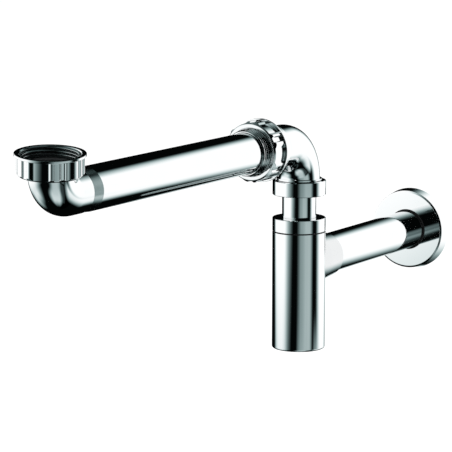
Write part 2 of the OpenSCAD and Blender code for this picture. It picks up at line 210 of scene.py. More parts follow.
def grid_faces(rows, columns, close_columns):
    """Quads between neighbouring rows of points, closed round the columns if asked."""
    last = columns if close_columns else columns - 1
    row, column = np.meshgrid(np.arange(rows - 1), np.arange(last), indexing="ij")
    after = (column + 1) % columns
    quads = np.stack([
        row * columns + column, row * columns + after,
        (row + 1) * columns + after, (row + 1) * columns + column,
    ], axis=-1)
    return quads.reshape(-1, 4).tolist()


def across(axis):
    """Two directions square to an axis and to each other."""
    side = axis.orthogonal().normalized()
    return np.array(side), np.array(axis.cross(side))


def rounded(profile, radius, steps=4):
    """Closed profile with each corner B rounded by a quadratic curve from A to C, which lie on
    its two sides at the rounding's distance: (1-t)^2 A + 2 t (1-t) B + t^2 C. One more point on
    each side, a little further out, keeps the flat stretches flat in smooth shading."""
    corner = np.array(profile, dtype=float)
    before = np.roll(corner, 1, axis=0) - corner
    after = np.roll(corner, -1, axis=0) - corner
    reach = [np.linalg.norm(way, axis=1, keepdims=True) for way in (before, after)]
    cut = np.minimum(radius, 0.4 * np.minimum(*reach))
    t = np.linspace(0, 1, steps)[None, :, None]
    first, first_guard = ((corner + before / reach[0] * cut * far)[:, None] for far in (1, 1.12))
    last, last_guard = ((corner + after / reach[1] * cut * far)[:, None] for far in (1, 1.12))
    curve = (1 - t) ** 2 * first + 2 * t * (1 - t) * corner[:, None] + t ** 2 * last
    return np.concatenate([first_guard, curve, last_guard], axis=1).reshape(-1, 2)


def outward(points, faces):
    """The faces turned to point outwards, by the sign of the volume that they enclose."""
    flat = points.reshape(-1, 3)
    quads = np.array(faces)
    a, b, c, d = (flat[quads[:, k]] - flat.mean(axis=0) for k in range(4))
    volume = (a * np.cross(b, c)).sum() + (a * np.cross(c, d)).sum()
    return quads[:, ::-1].tolist() if volume < 0 else faces


def turned_piece(name, point, axis, profile, steps, material, swell=None):
    """Piece turned round an axis. For an angle t and a profile point (s, r), the point is
    point + s * axis + (r + swell(s, r, t)) * (side * cos t + other * sin t). The profile is
    closed, and swell raises ribs on it."""
    s, r = profile.T
    t = np.linspace(0, 2 * math.pi, steps, endpoint=False)[:, None]
    if swell:
        r = r + swell(s, r, t)
    side, other = across(axis)
    points = (np.array(point) + s[None, :, None] * np.array(axis)
              + (r * np.cos(t))[..., None] * side + (r * np.sin(t))[..., None] * other)
    faces = (np.array(grid_faces(steps + 1, len(s), True)) % (steps * len(s))).tolist()
    piece = mesh_piece(name, points, outward(points, faces), material)
    piece.data.set_sharp_from_angle(angle=math.radians(50))
    return piece


def swept_tube(name, centres, runs, flat, radii, bore, steps, material):
    """Tube along a path in a plane. For a centre c, the path's direction d there, the plane's
    normal b and an angle t, the outside is c + r * ((b x d) * cos t + b * sin t), and the bore is
    the same with the bore's radius, once at each centre. The outside runs forwards and the bore
    runs back."""
    centres, runs = np.array(centres), np.array(runs)
    apart = np.append(True, np.linalg.norm(np.diff(centres, axis=0), axis=1) > 0)
    r = np.append(radii, np.full(apart.sum(), bore))
    centres, runs = (np.append(way, way[apart][::-1], axis=0) for way in (centres, runs))
    side = np.cross(np.array(flat), runs)
    t = np.linspace(0, 2 * math.pi, steps, endpoint=False)[None, :, None]
    points = centres[:, None] + r[:, None, None] * (
        side[:, None] * np.cos(t) + np.array(flat) * np.sin(t))
    faces = (np.array(grid_faces(len(r) + 1, steps, True)) % (steps * len(r))).tolist()
    piece = mesh_piece(name, points, outward(points, faces), material)
    piece.data.set_sharp_from_angle(angle=math.radians(50))
    return piece


# One ridge of a thread as (share of its height, share of the pitch) points, with rounded shoulders
RIDGE = ((-0.25, -0.40), (0.0, -0.36), (0.25, -0.26), (0.82, -0.12), (1.0, -0.05),
         (1.0, 0.05), (0.82, 0.12), (0.25, 0.26), (0.0, 0.36), (-0.25, 0.40))
RUN_OUT = math.radians(70)


def thread_ridge(name, point, axis, low, high, radius, height, pitch, start, steps, material):
    """Helical ridge round an axis. For a turn angle t and a place p on the ridge's section:
    height along the axis = low + pitch * t / one turn + the section's place * pitch,
    radius = the wall's radius + height * the section's share * fade(t), and fade rises smoothly
    from 0 to 1 over the first stretch of the helix and falls again over the last. A negative
    height makes the ridge stand inwards from the wall of a nut."""
    turns = (high - low) / pitch
    t = np.linspace(0, 2 * math.pi * turns, int(steps * turns) + 1)
    ease = np.clip(np.minimum(t, t[-1] - t) / RUN_OUT, 0.02, 1)
    fade = ease * ease * (3 - 2 * ease)
    section = np.array(RIDGE)
    out = radius + height * section[None, :, 0] * fade[:, None]
    along = low + pitch * t[:, None] / (2 * math.pi) + section[None, :, 1] * pitch * fade[:, None]
    side, other = across(axis)
    angle = t[:, None] + start
    points = (np.array(point) + along[..., None] * np.array(axis)
              + (out * np.cos(angle))[..., None] * side
              + (out * np.sin(angle))[..., None] * other)
    rows, columns = points.shape[:2]
    faces = grid_faces(rows, columns, True)
    faces.append(list(range(columns))[::-1])
    faces.append(list(range((rows - 1) * columns, rows * columns)))
    if height > 0:
        faces = [face[::-1] for face in faces]
    return mesh_piece(name, points, faces, material)


# Node groups and materials

def new_group(name, inputs, outputs):
    """Shader node group with float or vector sockets: {name: default} in, {name: type} out."""
    group = bpy.data.node_groups.new(name, "ShaderNodeTree")
    for label, default in inputs.items():
        kind = "NodeSocketVector" if isinstance(default, tuple) else "NodeSocketFloat"
        socket = group.interface.new_socket(label, in_out="INPUT", socket_type=kind)
        socket.default_value = default
    for label, kind in outputs.items():
        group.interface.new_socket(label, in_out="OUTPUT", socket_type=kind)
    entry = group.nodes.new("NodeGroupInput")
    leave = group.nodes.new("NodeGroupOutput")
    return group, entry, leave


def math_node(tree, operation, first, second=None, third=None):
    """Math node whose inputs are sockets or numbers. Returns its output."""
    node = tree.nodes.new("ShaderNodeMath")
    node.operation = operation
    for index, value in enumerate((first, second, third)):
        if isinstance(value, bpy.types.NodeSocket):
            tree.links.new(value, node.inputs[index])
        elif value is not None:
            node.inputs[index].default_value = value
    return node.outputs[0]


def vector_node(tree, operation, first, second=None):
    """Vector Math node whose inputs are sockets or vectors. Returns the node."""
    node = tree.nodes.new("ShaderNodeVectorMath")
    node.operation = operation
    for index, value in enumerate((first, second)):
        if isinstance(value, bpy.types.NodeSocket):
            tree.links.new(value, node.inputs[index])
        elif value is not None:
            node.inputs[index].default_value = value
    return node


def noise_node(tree, point, scale, detail=3.0):
    """Noise at a point, as a value from 0 to 1."""
    node = tree.nodes.new("ShaderNodeTexNoise")
    node.inputs["Scale"].default_value = scale
    node.inputs["Detail"].default_value = detail
    tree.links.new(point, node.inputs["Vector"])
    return node.outputs["Fac"]


def ramp(tree, value, low, high, to_low, to_high):
    """Smooth step of a value between two limits, each a socket or a number."""
    node = tree.nodes.new("ShaderNodeMapRange")
    node.interpolation_type = "SMOOTHSTEP"
    for index, item in enumerate((value, low, high, to_low, to_high)):
        if isinstance(item, bpy.types.NodeSocket):
            tree.links.new(item, node.inputs[index])
        else:
            node.inputs[index].default_value = item
    return node.outputs[0]


def mix_colours(tree, mask, first, second):
    """Mix of two colours by a mask. A colour is a socket or three numbers."""
    node = tree.nodes.new("ShaderNodeMix")
    node.data_type = "RGBA"
    tree.links.new(mask, node.inputs["Factor"])
    for name, colour in (("A", first), ("B", second)):
        socket = [s for s in node.inputs if s.name == name and s.type == "RGBA"][0]
        if isinstance(colour, bpy.types.NodeSocket):
            tree.links.new(colour, socket)
        else:
            socket.default_value = (*colour, 1)
    return [s for s in node.outputs if s.type == "RGBA"][0]


def build_polish_group():
    """Polishing marks: fine drawn streaks along an axis over soft hazy patches.
    Roughness = base + haze * patches + streaks * fine marks; Height carries the casting's ripple."""
    group, entry, leave = new_group(
        "polish marks",
        {"Point": (0.0, 0.0, 0.0), "Base": 0.04, "Haze": 0.02, "Streaks": 0.01,
         "Stretch": (1.0, 1.0, 1.0), "Ripple scale": 30.0},
        {"Roughness": "NodeSocketFloat", "Tone": "NodeSocketFloat", "Height": "NodeSocketFloat"})
    point = entry.outputs["Point"]
    patches = noise_node(group, point, 22.0, 4.0)
    stretched = vector_node(group, "MULTIPLY", point, entry.outputs["Stretch"]).outputs[0]
    marks = noise_node(group, stretched, 900.0, 2.0)
    ripple = group.nodes.new("ShaderNodeTexNoise")
    ripple.inputs["Detail"].default_value = 1.0
    group.links.new(point, ripple.inputs["Vector"])
    group.links.new(entry.outputs["Ripple scale"], ripple.inputs["Scale"])
    hazed = math_node(group, "MULTIPLY_ADD", ramp(group, patches, 0.42, 0.75, 0.0, 1.0),
                      entry.outputs["Haze"], entry.outputs["Base"])
    rough = math_node(group, "MULTIPLY_ADD", ramp(group, marks, 0.45, 0.8, 0.0, 1.0),
                      entry.outputs["Streaks"], hazed)
    group.links.new(rough, leave.inputs["Roughness"])
    group.links.new(patches, leave.inputs["Tone"])
    group.links.new(ripple.outputs["Fac"], leave.inputs["Height"])
    return group


def build_bore_group():
    """Mask of what lies inside a bore: 1 nearer to the axis than Radius and between Low and High
    along it, and 0 elsewhere."""
    group, entry, leave = new_group(
        "inside a bore",
        {"Point": (0.0, 0.0, 0.0), "Origin": (0.0, 0.0, 0.0), "Axis": (0.0, 0.0, 1.0),
         "Radius": 0.015, "Low": -1.0, "High": 1.0},
        {"Mask": "NodeSocketFloat"})
    arm = vector_node(group, "SUBTRACT", entry.outputs["Point"], entry.outputs["Origin"]).outputs[0]
    along = vector_node(group, "DOT_PRODUCT", arm, entry.outputs["Axis"]).outputs["Value"]
    off_axis = vector_node(group, "CROSS_PRODUCT", arm, entry.outputs["Axis"]).outputs[0]
    distance = vector_node(group, "LENGTH", off_axis).outputs["Value"]
    inside = math_node(group, "LESS_THAN", distance, entry.outputs["Radius"])
    over = math_node(group, "GREATER_THAN", along, entry.outputs["Low"])
    under = math_node(group, "LESS_THAN", along, entry.outputs["High"])
    mask = math_node(group, "MULTIPLY", math_node(group, "MULTIPLY", inside, over), under)
    group.links.new(mask, leave.inputs["Mask"])
    return group


def build_bend_group():
    """Mask of what lies inside a bent tube: 1 nearer than Radius to a circle about Centre in the
    plane square to Normal, on the far side of Centre from both of the tube's straight ends."""
    group, entry, leave = new_group(
        "inside a bend",
        {"Point": (0.0, 0.0, 0.0), "Centre": (0.0, 0.0, 0.0), "Normal": (0.0, 1.0, 0.0),
         "First end": (1.0, 0.0, 0.0), "Second end": (0.0, 0.0, 1.0), "Bend": 0.02,
         "Radius": 0.015},
        {"Mask": "NodeSocketFloat"})
    arm = vector_node(group, "SUBTRACT", entry.outputs["Point"], entry.outputs["Centre"]).outputs[0]
    off = vector_node(group, "DOT_PRODUCT", arm, entry.outputs["Normal"]).outputs["Value"]
    flat = vector_node(group, "CROSS_PRODUCT", arm, entry.outputs["Normal"]).outputs[0]
    reach = vector_node(group, "LENGTH", flat).outputs["Value"]
    past = math_node(group, "SUBTRACT", reach, entry.outputs["Bend"])
    distance = math_node(group, "SQRT", math_node(
        group, "ADD", math_node(group, "POWER", past, 2.0), math_node(group, "POWER", off, 2.0)))
    mask = math_node(group, "LESS_THAN", distance, entry.outputs["Radius"])
    for end in ("First end", "Second end"):
        along = vector_node(group, "DOT_PRODUCT", arm, entry.outputs[end]).outputs["Value"]
        mask = math_node(group, "MULTIPLY", mask, math_node(group, "LESS_THAN", along, 0.0))
    group.links.new(mask, leave.inputs["Mask"])
    return group


def build_card_group():
    """Soft card on the tent, as a rounded rectangle in azimuth and elevation. With d the distance
    outside the rectangle, in degrees, and s the softness of the nearest side, or a blend of the
    two sides at a corner, the mask falls smoothly from 1 at d = -s to 0 at d = s."""
    group, entry, leave = new_group(
        "soft card",
        {"Azimuth": 0.0, "Elevation": 0.0, "Left": -10.0, "Right": 10.0, "Low": -10.0,
         "High": 10.0, "Corner": 5.0, "Soft left": 5.0, "Soft right": 5.0, "Soft low": 5.0,
         "Soft high": 5.0},
        {"Mask": "NodeSocketFloat"})
    sockets = entry.outputs

    def side(place, low, high):
        """Distance past the inner box, squared, and the softness on that side."""
        middle = math_node(group, "MULTIPLY", math_node(group, "ADD", sockets[low],
                                                        sockets[high]), 0.5)
        half = math_node(group, "MULTIPLY", math_node(group, "SUBTRACT", sockets[high],
                                                      sockets[low]), 0.5)
        offset = math_node(group, "SUBTRACT", sockets[place], middle)
        past = math_node(group, "ADD", sockets["Corner"], math_node(
            group, "SUBTRACT", math_node(group, "ABSOLUTE", offset), half))
        squared = math_node(group, "POWER", math_node(group, "MAXIMUM", past, 0.0001), 2.0)
        upper = math_node(group, "GREATER_THAN", offset, 0.0)
        step = math_node(group, "SUBTRACT", sockets["Soft " + high.lower()],
                         sockets["Soft " + low.lower()])
        return squared, math_node(group, "MULTIPLY_ADD", upper, step,
                                  sockets["Soft " + low.lower()])

    wide, soft_wide = side("Azimuth", "Left", "Right")
    tall, soft_tall = side("Elevation", "Low", "High")
    both = math_node(group, "ADD", wide, tall)
    blend = math_node(group, "MULTIPLY_ADD", wide, soft_wide,
                      math_node(group, "MULTIPLY", tall, soft_tall))
    soft = math_node(group, "DIVIDE", blend, both)
    distance = math_node(group, "SUBTRACT", math_node(group, "SQRT", both), sockets["Corner"])
    mask = ramp(group, distance, math_node(group, "MULTIPLY", soft, -1.0), soft, 1.0, 0.0)
    group.links.new(mask, leave.inputs["Mask"])
    return group


def place_group(tree, group, values, links):
    """Puts a node group into a tree with its values and links. Returns the node."""
    node = tree.nodes.new("ShaderNodeGroup")
    node.node_tree = group
    for name, value in values.items():
        node.inputs[name].default_value = value
    for name, socket in links.items():
        tree.links.new(socket, node.inputs[name])
    return node


def new_material(name):
    """Material with a Principled shader. Returns the material, its tree, the shader and the point
    in Object coordinates."""
    material = bpy.data.materials.new(name)
    material.use_nodes = True
    tree = material.node_tree
    shader = tree.nodes["Principled BSDF"]
    point = tree.nodes.new("ShaderNodeTexCoord").outputs["Object"]
    return material, tree, shader, point


def add_bump(tree, shader, height, strength, distance):
    """Bump from a height, into the shader's normal."""
    bump = tree.nodes.new("ShaderNodeBump")
    bump.inputs["Strength"].default_value = strength
    bump.inputs["Distance"].default_value = distance
    tree.links.new(height, bump.inputs["Height"])
    tree.links.new(bump.outputs["Normal"], shader.inputs["Normal"])


def chrome_material(name, groups, stretch=(1.0, 1.0, 1.0), haze=0.015, streaks=0.01,
                    ripple=0.0, masks=()):
    """Bright chrome with polishing marks. Each mask is (group, values, colour, roughness): where
    the group's mask is 1, the plating has that colour and roughness."""
    finish = bpy.context.scene.trap_finishes
    material, tree, shader, point = new_material(name)
    marks = place_group(tree, groups["marks"], {
        "Base": finish.polish, "Haze": haze, "Streaks": streaks, "Stretch": stretch,
        "Ripple scale": 26.0}, {"Point": point})
    tone = tuple(0.965 * c for c in finish.chrome)
    colour = mix_colours(tree, marks.outputs["Tone"], tone, tuple(finish.chrome))
    rough = marks.outputs["Roughness"]
    for group, values, patch, dullness in masks:
        inside = place_group(tree, groups[group], values, {"Point": point}).outputs["Mask"]
        colour = mix_colours(tree, inside, colour, tuple(patch))
        step = math_node(tree, "MULTIPLY_ADD", marks.outputs["Tone"], 0.5 * dullness,
                         0.75 * dullness)
        rough = math_node(tree, "MULTIPLY_ADD", inside, math_node(tree, "SUBTRACT", step, rough),
                          rough)
    tree.links.new(colour, shader.inputs["Base Color"])
    tree.links.new(rough, shader.inputs["Roughness"])
    shader.inputs["Metallic"].default_value = 1.0
    if ripple:
        add_bump(tree, shader, marks.outputs["Height"], ripple, 0.001)
    return material


def soft_material(name, groups, colour, base, haze, grain, gloss):
    """Rubber or plastic: a moulded skin with faint mottling and a fine grain."""
    material, tree, shader, point = new_material(name)
    marks = place_group(tree, groups["marks"], {
        "Base": base, "Haze": haze, "Streaks": 0.08, "Ripple scale": 1400.0}, {"Point": point})
    pale = tuple(min(1.0, 1.25 * c + 0.004) for c in colour)
    tone = mix_colours(tree, marks.outputs["Tone"], tuple(colour), pale)
    tree.links.new(tone, shader.inputs["Base Color"])
    tree.links.new(marks.outputs["Roughness"], shader.inputs["Roughness"])
    shader.inputs["Specular IOR Level"].default_value = gloss
    add_bump(tree, shader, marks.outputs["Height"], grain, 0.0002)
    return material


def dress(node, material):
    """Gives a CAD node its material in every slot."""
    slots = frame["nodes"][node].material_slots
    if not slots:
        raise RuntimeError(f"{node} has no material slot")
    for entry in slots:
        entry.material = material


def shader_groups():
    """The shared node groups, built on first use."""
    builders = {"polish marks": build_polish_group, "inside a bore": build_bore_group,
                "inside a bend": build_bend_group}
    for name, builder in builders.items():
        if name not in bpy.data.node_groups:
            builder()
    return {name.split()[-1]: bpy.data.node_groups[name] for name in builders}


# Radius that the inside of each tube lies within, and what the part's source gives for the bend,
# the drawn-down stretch of the arm, the boss and the bottle
# The bore radii and the band's and boss's stretches also bound where shade is painted
TUBE_BORE = 0.0149
DIP_BORE = 0.0130
NUT_BORE = 0.0212
BEND_RADIUS = 0.0205
BAND_START = 0.0304
BAND_LENGTH = 0.0112
BAND_FLOOR = 0.0151
BAND_ROUGH = 0.18
BOSS_START = 0.0080
BOSS_END = 0.0417
BOSS_REACH = 0.0198
FAR = 1.0
TUBE_BEND_RADIUS = 0.0158
TUBE_WALL = 0.0012
INLET_STRAIGHT = 0.0019
SPUN_RADIUS = 0.02005
SPUN_THICK = 0.0018
PIPE_RADIUS = 0.016
TUBE_STRETCH = (0.02, 1.0, 1.0)
UPRIGHT_STRETCH = (1.0, 1.0, 0.02)


def arm_corner():
    """Point where the arm's axis and the inlet's axis cross."""
    across_both = ARM_AXIS.cross(INLET_AXIS)
    share = (INLET_POINT - ARM_POINT).cross(INLET_AXIS).dot(across_both) / across_both.length ** 2
    return ARM_POINT + ARM_AXIS * share


def bore_mask(origin, axis, radius, low, high):
    """Values for the group that masks what lies inside a bore."""
    return "bore", {"Origin": tuple(origin), "Axis": tuple(axis), "Radius": radius,
                    "Low": low, "High": high}


def arm_bend():
    """Corner of the arm's two runs, its bend's centre and plane, and the runs' tangent length."""
    corner = arm_corner()
    half = ARM_AXIS.angle(INLET_AXIS) / 2
    centre = corner + (ARM_AXIS + INLET_AXIS).normalized() * (BEND_RADIUS / math.sin(half))
    return corner, centre, ARM_AXIS.cross(INLET_AXIS).normalized(), BEND_RADIUS / math.tan(half)


def arm_material(groups):
    """Chrome of the bent arm: rougher in its bore, with a dark colour that is painted shade, and on the band where
    it is drawn down a rougher satin finish whose darker colour is painted shade.
    """
    finish = bpy.context.scene.trap_finishes
    corner, centre, normal, tangent = arm_bend()
    bores = [
        bore_mask(corner + ARM_AXIS * tangent, ARM_AXIS, TUBE_BORE, 0.0, FAR),
        bore_mask(corner + INLET_AXIS * tangent, INLET_AXIS, TUBE_BORE, 0.0, FAR),
        ("bend", {"Centre": tuple(centre), "Normal": tuple(normal),
                  "First end": tuple(ARM_AXIS), "Second end": tuple(INLET_AXIS),
                  "Bend": BEND_RADIUS, "Radius": TUBE_BORE}),
    ]
    # Painted shade: the arm's bores, the bend's included, get a dark colour
    masks = [(*bore, tuple(finish.bore_painted_shade), 0.32) for bore in bores]
    # Painted shade: the band in the recess gets a darker colour, with a rougher finish
    band = bore_mask(corner, ARM_AXIS, BOSS_REACH, BAND_START, BAND_START + BAND_LENGTH)
    masks.insert(0, (*band, tuple(finish.band_painted_shade), BAND_ROUGH))
    return chrome_material("chrome, bent arm", groups, TUBE_STRETCH, masks=masks)


class TRAP_OT_chrome(Operator):
    """Chrome of the tubes, castings and nuts."""

    bl_idname = "trap.chrome"
    bl_label = "Chrome"

    def execute(self, context):
        groups = shader_groups()
        finish = context.scene.trap_finishes
        # Painted shade: a dark colour inside the waste pipe's and dip tube's bores
        bore_shade = (tuple(finish.bore_painted_shade), 0.32)
        # Painted shade: the outlet boss gets a darker chrome colour, with a rougher finish
        satin_shade = (tuple(finish.boss_shade_tone * c for c in finish.chrome), 0.10)
        pipe_bore = bore_mask(PIPE_POINT, PIPE_AXIS, TUBE_BORE, -FAR, FAR)
        dip_bore = bore_mask(BOTTLE_POINT, BOTTLE_AXIS, DIP_BORE, -FAR, FAR)
        boss = bore_mask((BOTTLE_POINT.x, 0, 0), PIPE_AXIS, BOSS_REACH, BOSS_START, BOSS_END)
        waste = chrome_material("chrome, waste pipe", groups, TUBE_STRETCH,
                                masks=[(*pipe_bore, *bore_shade)])
        upright = chrome_material("chrome, dip tube", groups, UPRIGHT_STRETCH,
                                  masks=[(*dip_bore, *bore_shade)])
        elbow = chrome_material("chrome, cast elbow", groups, haze=0.02, streaks=0.004,
                                ripple=0.012)
        bottle = chrome_material("chrome, cast bottle", groups, haze=0.02, streaks=0.004,
                                 ripple=0.012, masks=[(*boss, *satin_shade)])
        turned = chrome_material("chrome, turned nut", groups, haze=0.01, streaks=0.02)
        finishes = {
            waste: ["waste_pipe"], upright: ["dip_tube"], elbow: ["trap_elbow"],
            bottle: ["bottle_body"], turned: ["swivel_nut", "ring_nut"],
        }
        for material, nodes in finishes.items():
            for node in nodes:
                dress(node, material)
        return {"FINISHED"}


class TRAP_OT_arm(Operator):
    """Bent arm, swept smoothly along its path, with the collar spun on its inlet."""

    bl_idname = "trap.arm"
    bl_label = "Bent arm"

    def execute(self, context):
        sizes = context.scene.trap_rings
        corner, centre, normal, tangent = arm_bend()
        inlet_end = tangent + INLET_STRAIGHT
        arm_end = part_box("arm_tube")[1][0] - corner.x
        seat = inlet_end - SPUN_THICK
        # Stations as (distance from the corner, outer radius), down the inlet's run
        inlet = [(inlet_end, SPUN_RADIUS), (seat, SPUN_RADIUS), (seat, TUBE_BEND_RADIUS)]
        centres = [corner + INLET_AXIS * along for along, radius in inlet]
        runs = [-INLET_AXIS for station in inlet]
        # Round the bend, from the inlet's tangent point to the arm's
        turn = math.pi - ARM_AXIS.angle(INLET_AXIS)
        start = corner + INLET_AXIS * tangent - centre
        bend_steps = 48
        for step in range(bend_steps + 1):
            spin = Matrix.Rotation(turn * step / bend_steps, 3, normal)
            if (spin @ start - start).dot(ARM_AXIS) < -1e-9:
                spin.transpose()
            centres.append(centre + spin @ start)
            runs.append(spin @ -INLET_AXIS)
        # Along the arm: the shallow recess, whose conical floor rises to the pipe's size
        band_end = BAND_START + BAND_LENGTH
        guard = 0.0002
        rise = (PIPE_RADIUS - BAND_FLOOR) / BAND_LENGTH
        run = [(BAND_START, TUBE_BEND_RADIUS), (BAND_START, BAND_FLOOR),
               (band_end - guard, PIPE_RADIUS - guard * rise), (band_end, PIPE_RADIUS),
               (band_end + guard, PIPE_RADIUS), (arm_end, PIPE_RADIUS)]
        centres += [corner + ARM_AXIS * along for along, radius in run]
        runs += [ARM_AXIS for station in run]
        radii = ([radius for along, radius in inlet] + [TUBE_BEND_RADIUS] * (bend_steps + 1)
                 + [radius for along, radius in run])
        arm = swept_tube("swept_arm", centres, runs, normal, radii, PIPE_RADIUS - TUBE_WALL,
                         sizes.steps, arm_material(shader_groups()))
        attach(arm, "arm")
        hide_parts("arm_tube")
        return {"FINISHED"}


class TRAP_OT_seals(Operator):
    """Rubber of the gaskets, washers and O-rings, and plastic of the slip rings."""

    bl_idname = "trap.seals"
    bl_label = "Seals and slip rings"

    def execute(self, context):
        groups = shader_groups()
        finish = context.scene.trap_finishes
        black = soft_material("black rubber", groups, finish.black_rubber, 0.5, 0.15, 0.15, 0.2)
        grey = soft_material("grey rubber", groups, finish.grey_rubber, 0.55, 0.15, 0.25, 0.3)
        white = soft_material("white plastic", groups, finish.white_plastic, 0.38, 0.12, 0.08, 0.5)
        rings = {
            black: ["bottle_gasket", "outlet_oring_inner", "outlet_oring_outer"],
            grey: ["inlet_washer", "arm_cone_seal", "swivel_washer", "dip_cone_seal"],
            white: ["inlet_slip_ring", "swivel_slip_ring", "dip_slip_ring"],
        }
        for material, nodes in rings.items():
            for node in nodes:
                dress(node, material)
        return {"FINISHED"}


# Sizes of the gland collar, the wall plate and the grip ring in the part's source, in metres
GAP = 0.0003
COLLAR_RADIUS = 0.0187
COLLAR_OUT = 0.009
COLLAR_GROWTH = 0.0009
COLLAR_SEAT = 0.00265
COLLAR_FLANGE = 0.0014
COLLAR_FLANGE_RADIUS = 0.02035
PLATE_FRONT = 0.0335
PLATE_BACK = 0.03475
PLATE_DEPTH = 0.010
PLATE_WALL = 0.0014
HOLE_RADIUS = 0.017
GRIP_BACK = 0.0056
GRIP_OVER = 0.0004
GRIP_LIP = 0.0003


class TRAP_OT_rings(Operator):
    """Turned rings: the stepped gland collar, the bevelled wall plate and its rubber grip ring."""

    bl_idname = "trap.rings"
    bl_label = "Turned rings"

    def execute(self, context):
        sizes = context.scene.trap_rings
        groups = shader_groups()
        finish = context.scene.trap_finishes

        # The collar: saw-tooth steps that rise towards the nut, then its seat inside the nut
        bore = PIPE_RADIUS + GAP
        nut_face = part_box("arm_nut")[0][0]
        tooth = np.arange(sizes.collar_teeth)
        length = (COLLAR_OUT - 2 * GAP) / sizes.collar_teeth
        tops = np.linspace(COLLAR_RADIUS - COLLAR_GROWTH, COLLAR_RADIUS, sizes.collar_teeth)
        steps = np.stack([
            np.stack([-COLLAR_OUT + tooth * length, tops - sizes.collar_rise], axis=1),
            np.stack([-COLLAR_OUT + (tooth + 0.97 - sizes.collar_land) * length, tops], axis=1),
            np.stack([-COLLAR_OUT + (tooth + 0.97) * length, tops], axis=1),
        ], axis=1).reshape(-1, 2)
        profile = [(-COLLAR_OUT, bore), *steps.tolist(),
                   (-GAP, COLLAR_RADIUS - sizes.collar_rise), (-GAP, COLLAR_RADIUS),
                   (COLLAR_SEAT, COLLAR_RADIUS), (COLLAR_SEAT, COLLAR_FLANGE_RADIUS),
                   (COLLAR_SEAT + COLLAR_FLANGE, COLLAR_FLANGE_RADIUS),
                   (COLLAR_SEAT + COLLAR_FLANGE, bore)]
        chrome = chrome_material("chrome, stepped collar", groups, haze=0.01, streaks=0.02)
        place = Vector((nut_face, ARM_POINT.y, ARM_POINT.z))
        collar = turned_piece("stepped_collar", place, ARM_AXIS, rounded(profile, sizes.rounding),
                              sizes.steps, chrome)
        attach(collar, "gland_collar")
        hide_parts("gland_collar")

        # The plate: a pressed dish, open to the wall, with a low bevel round its face
        out = Vector((-1, 0, 0))
        drop = sizes.plate_bevel * math.tan(sizes.plate_slope)
        profile = [
            (PLATE_DEPTH - PLATE_WALL, HOLE_RADIUS),
            (PLATE_DEPTH - PLATE_WALL, PLATE_FRONT - PLATE_WALL), (0.0, PLATE_BACK - PLATE_WALL),
            (0.0, PLATE_BACK), (PLATE_DEPTH - drop, PLATE_FRONT),
            (PLATE_DEPTH, PLATE_FRONT - sizes.plate_bevel), (PLATE_DEPTH, HOLE_RADIUS)]
        pressed = chrome_material("chrome, pressed plate", groups, haze=0.015, streaks=0.008)
        plate = turned_piece("pressed_plate", PIPE_POINT, out, rounded(profile, sizes.rounding),
                             sizes.steps, pressed)
        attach(plate, "wall_cover")
        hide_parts("wall_plate")

        # The grip ring: a thin lip in front of the plate's hole
        lip = HOLE_RADIUS + GRIP_OVER
        stand = PLATE_DEPTH + sizes.ring_stand
        profile = [
            (GRIP_BACK, PIPE_RADIUS + GAP / 6), (GRIP_BACK, HOLE_RADIUS - GAP / 6),
            (PLATE_DEPTH, HOLE_RADIUS - GAP / 6), (PLATE_DEPTH + GAP / 6, lip),
            (stand - GRIP_LIP, lip), (stand, lip - GRIP_LIP), (stand, PIPE_RADIUS + GAP / 6)]
        rubber = soft_material("black rubber, grip ring", groups, finish.black_rubber, 0.45,
                               0.15, 0.15, 0.2)
        grip = turned_piece("lipped_grip_ring", PIPE_POINT, out, rounded(profile, sizes.rounding),
                            sizes.steps, rubber)
        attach(grip, "wall_cover")
        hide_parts("grip_ring")
        return {"FINISHED"}


# Sizes of the ribbed nuts in the part's source, in metres: radii, then distances from the closed
# end, then the pair of ribs as arc distances from its middle
PANEL_RADIUS = 0.0226
RIB_HEIGHT = 0.0012
FLANGE_RADIUS = 0.0249
NUT_THREAD_RADIUS = 0.02095
NUT_END = 0.0026
FLANGE_THICK = 0.0018
MOUTH_BEVEL = 0.001
RIB_PAIRS = 6
RIB_OUTSIDE = 0.0043
GROOVE_HALF = 0.0023
TRAILING_FLANK = 0.0018
LEADING_FLANK = 0.0034
BEND_ROOM = 0.002


def smooth_step(value, low, high):
    """0 below low, 1 above high and 3 q^2 - 2 q^3 between them."""
    share = np.clip((value - low) / (high - low), 0, 1)
    return share * share * (3 - 2 * share)


def nut_in_frame(node, axis):
    """Closed end's centre, height and first pair's angle of a ribbed CAD nut. The ribs' outermost
    points lie evenly about the middle of each pair, so the mean of exp(i * pairs * angle) over
    them points to it."""
    solid = frame["nodes"][node]
    points = np.array([solid.matrix_world @ vertex.co for vertex in solid.data.vertices])
    joint_point = {"inlet_nut": INLET_POINT, "arm_nut": ARM_POINT}[node]
    arm = points - np.array(joint_point)
    along = arm @ np.array(axis)
    side, other = across(axis)
    x, y = arm @ side, arm @ other
    radius, angle = np.hypot(x, y), np.arctan2(y, x)
    low, high = along.min(), along.max()
    crests = (abs(radius - PANEL_RADIUS - RIB_HEIGHT) < 2e-5) & (along < high - 1.2 * FLANGE_THICK)
    middle = np.angle(np.exp(1j * RIB_PAIRS * angle[crests]).mean()) / RIB_PAIRS
    return np.array(joint_point) + low * np.array(axis), high - low, middle


